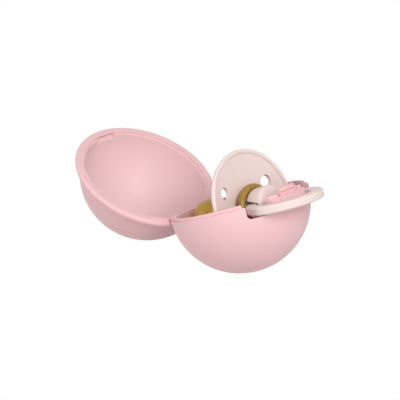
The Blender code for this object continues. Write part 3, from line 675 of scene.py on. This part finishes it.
def make_knob():
    """The knob's cap with its rounded front and the slot that the ring runs through."""
    outline = filleted([(0, KNOB_FRONT), (KNOB, KNOB_FRONT, KNOB_EDGE), (KNOB, KNOB_SHOULDER, KNOB_BACK_EDGE),
                        (SPIGOT, KNOB_SHOULDER, 0.1), (SPIGOT, SPIGOT_BACK, 0.2), (0, SPIGOT_BACK)])
    knob = lathe("knob_body", outline, TEAT_FRAME, TEAT_STEPS)
    centre = RING_CENTRE - RING_PIVOT
    half_height = RING_HEIGHT / 2 + SLOT_GAP
    back = centre - RING_OUTER - SLOT_BACK_GAP
    front = centre - math.sqrt(RING_INNER ** 2 - KNOB ** 2) + SLOT_GAP
    corners = []
    for swing in spread_evenly(0, RING_SWING, SWING_STEPS):
        turn = -math.radians(swing + RING_LEAN)
        for x in (back, front):
            for z in (-half_height, half_height):
                corners.append((x * math.cos(turn) - z * math.sin(turn),
                                x * math.sin(turn) + z * math.cos(turn)))
    open_back = TEAT_REACH + SPIGOT_BACK - RING_PIVOT - 1
    corners += [(open_back, min(z for x, z in corners if x < 0)), (open_back, half_height)]
    slot = prism("slot", hull(corners), -KNOB - 1, KNOB + 1, CASE @ shift(RING_PIVOT, 0, -RING_PIVOT_DROP))
    combine(knob, slot, "DIFFERENCE")
    soften(knob, PACIFIER_EDGE, 3)
    return shade(knob)


def make_ring():
    """The flat ring with its rounded edges."""
    half = RING_HEIGHT / 2
    outline = filleted([(RING_OUTER, half, RING_EDGE), (RING_OUTER, -half, RING_EDGE),
                        (RING_INNER, -half, RING_EDGE), (RING_INNER, half, RING_EDGE)], True)
    place = RING_FRAME @ shift(RING_CENTRE - RING_PIVOT, 0, 0)
    return shade(lathe("ring_handle", outline, place, RING_STEPS, True))


pink = moulded_plastic("case_plastic", OUTSIDE_PINK, SHADED_PINK, 0.46, GRAIN)
# The lid's plastic carries the painted light on its inner wall
lid_pink_painted_light = moulded_plastic("lid_plastic_painted_light", OUTSIDE_PINK, SHADED_PINK, 0.46, GRAIN,
                           inside=(LID.translation / 1000, INSIDE_PAINTED_LIGHT_PINK))
pale = moulded_plastic("pacifier_plastic", (0.870, 0.725, 0.690), (0.850, 0.700, 0.665), 0.42, 0.2,
                       scatter=0.1)
amber = latex(BULB_FRAME @ Vector((0, 0, -BULB_DISTANCE)) / 1000)

pieces = [(make_base(), "base", "base_shell", "case_pink", pink),
          (make_latch(), "latch", "latch_tab", "case_pink", pink),
          (make_lid(), "lid", "lid_shell", "case_pink", lid_pink_painted_light),
          (make_pin(), "base", "hinge_pin", "pin_pink", pink),
          (make_shield(), "pacifier", "pacifier_shield", "pacifier_pale", pale),
          (make_teat(), "pacifier", "teat", "teat_amber", amber),
          (make_knob(), "pacifier", "knob_cap", "pacifier_pale", pale),
          (make_ring(), "ring", "pacifier_ring", "pacifier_pale", pale)]
for piece, body, node, slot, material in pieces:
    piece.data.transform(Matrix.Scale(0.001, 4))
    piece.data.materials.clear()
    piece.data.materials.append(material)
    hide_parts(node)
    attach(piece, body)
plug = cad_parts["knob_plug"]
plug.data.materials.clear()
plug.data.materials.append(pale)


# Camera, floor and lamps

def make_camera():
    """The camera of the perspective fit: the base's middle stands at its pixel in the photograph."""
    azimuth = 0.7472
    elevation = 0.3551
    focal = 1466.77
    distance = 20.6087 * BALL / 1000
    back = Vector((math.sin(azimuth) * math.cos(elevation), -math.cos(azimuth) * math.cos(elevation),
                   math.sin(elevation)))
    right = Vector((math.cos(azimuth), math.sin(azimuth), 0))
    up = back.cross(right)
    across = (BALL_PIXEL[0] - PICTURE / 2) / focal
    upward = (PICTURE / 2 - BALL_PIXEL[1]) / focal
    sight = Vector((across, upward, -1)).normalized() * distance
    ball_centre = CASE.translation / 1000
    turn = Matrix((right, up, back))
    eye = ball_centre - turn.transposed() @ sight
    data = bpy.data.cameras.new("camera")
    data.sensor_width = SENSOR
    data.lens = focal / PICTURE * SENSOR
    data.clip_start = 0.01
    data.clip_end = 20
    camera = bpy.data.objects.new("camera", data)
    bpy.context.scene.collection.objects.link(camera)
    camera.matrix_world = Matrix.Translation(eye) @ turn.transposed().to_4x4()
    bpy.context.scene.camera = camera


def white_where_seen(material_or_world, surface):
    """A mix that gives the camera, mirrors and glass its second shader and everything else the surface."""
    tree = material_or_world.node_tree
    nodes = tree.nodes
    links = tree.links
    path = nodes.new("ShaderNodeLightPath")
    first = nodes.new("ShaderNodeMath")
    first.operation = "MAXIMUM"
    second = nodes.new("ShaderNodeMath")
    second.operation = "MAXIMUM"
    mix = nodes.new("ShaderNodeMixShader")
    links.new(path.outputs["Is Camera Ray"], first.inputs[0])
    links.new(path.outputs["Is Glossy Ray"], first.inputs[1])
    links.new(first.outputs[0], second.inputs[0])
    links.new(path.outputs["Is Transmission Ray"], second.inputs[1])
    links.new(second.outputs[0], mix.inputs["Fac"])
    links.new(surface, mix.inputs[1])
    return mix


def make_stage():
    """A pale floor and a white world."""
    material = bpy.data.materials.new("floor")
    material.use_nodes = True
    nodes = material.node_tree.nodes
    links = material.node_tree.links
    shader = nodes["Principled BSDF"]
    shader.inputs["Base Color"].default_value = (0.64, 0.64, 0.64, 1)
    shader.inputs["Roughness"].default_value = 0.9
    shader.inputs["Specular IOR Level"].default_value = 0
    white = nodes.new("ShaderNodeEmission")
    white.inputs["Color"].default_value = (1, 1, 1, 1)
    white.inputs["Strength"].default_value = 1
    mix = white_where_seen(material, shader.outputs["BSDF"])
    links.new(white.outputs["Emission"], mix.inputs[2])
    links.new(mix.outputs["Shader"], nodes["Material Output"].inputs["Surface"])
    work = bmesh.new()
    bmesh.ops.create_grid(work, x_segments=1, y_segments=1, size=3)
    mesh = bpy.data.meshes.new("floor")
    work.to_mesh(mesh)
    work.free()
    floor = bpy.data.objects.new("floor", mesh)
    floor.location.z = -0.0001
    bpy.context.scene.collection.objects.link(floor)
    mesh.materials.append(material)

    world = bpy.data.worlds.new("studio")
    bpy.context.scene.world = world
    world.use_nodes = True
    nodes = world.node_tree.nodes
    links = world.node_tree.links
    soft = nodes["Background"]
    soft.inputs["Color"].default_value = (1, 1, 1, 1)
    soft.inputs["Strength"].default_value = 0.47
    bright = nodes.new("ShaderNodeBackground")
    bright.inputs["Color"].default_value = (1, 1, 1, 1)
    bright.inputs["Strength"].default_value = 1
    mix = white_where_seen(world, soft.outputs["Background"])
    links.new(bright.outputs["Background"], mix.inputs[2])
    links.new(mix.outputs["Shader"], nodes["World Output"].inputs["Surface"])


def make_lamp(name, location, target, size, power):
    """A round lamp that shines on its target."""
    data = bpy.data.lights.new(name, "AREA")
    data.shape = "DISK"
    data.size = size
    data.energy = power
    lamp = bpy.data.objects.new(name, data)
    lamp.location = location
    lamp.rotation_euler = (Vector(target) - Vector(location)).to_track_quat("-Z", "Y").to_euler()
    bpy.context.scene.collection.objects.link(lamp)


make_camera()
make_stage()
make_lamp("key", (0.78, -0.32, 0.71), (0.0, 0, 0.03), 0.45, 5.35)
make_lamp("left fill", (-0.55, -0.85, 0.30), (0.0, 0, 0.03), 0.7, 2.2)
make_lamp("low fill", (0.65, -0.72, 0.10), (0.0, 0, 0.03), 0.6, 2.1)
bpy.context.scene.view_settings.view_transform = "Standard"

bpy.context.view_layer.update()
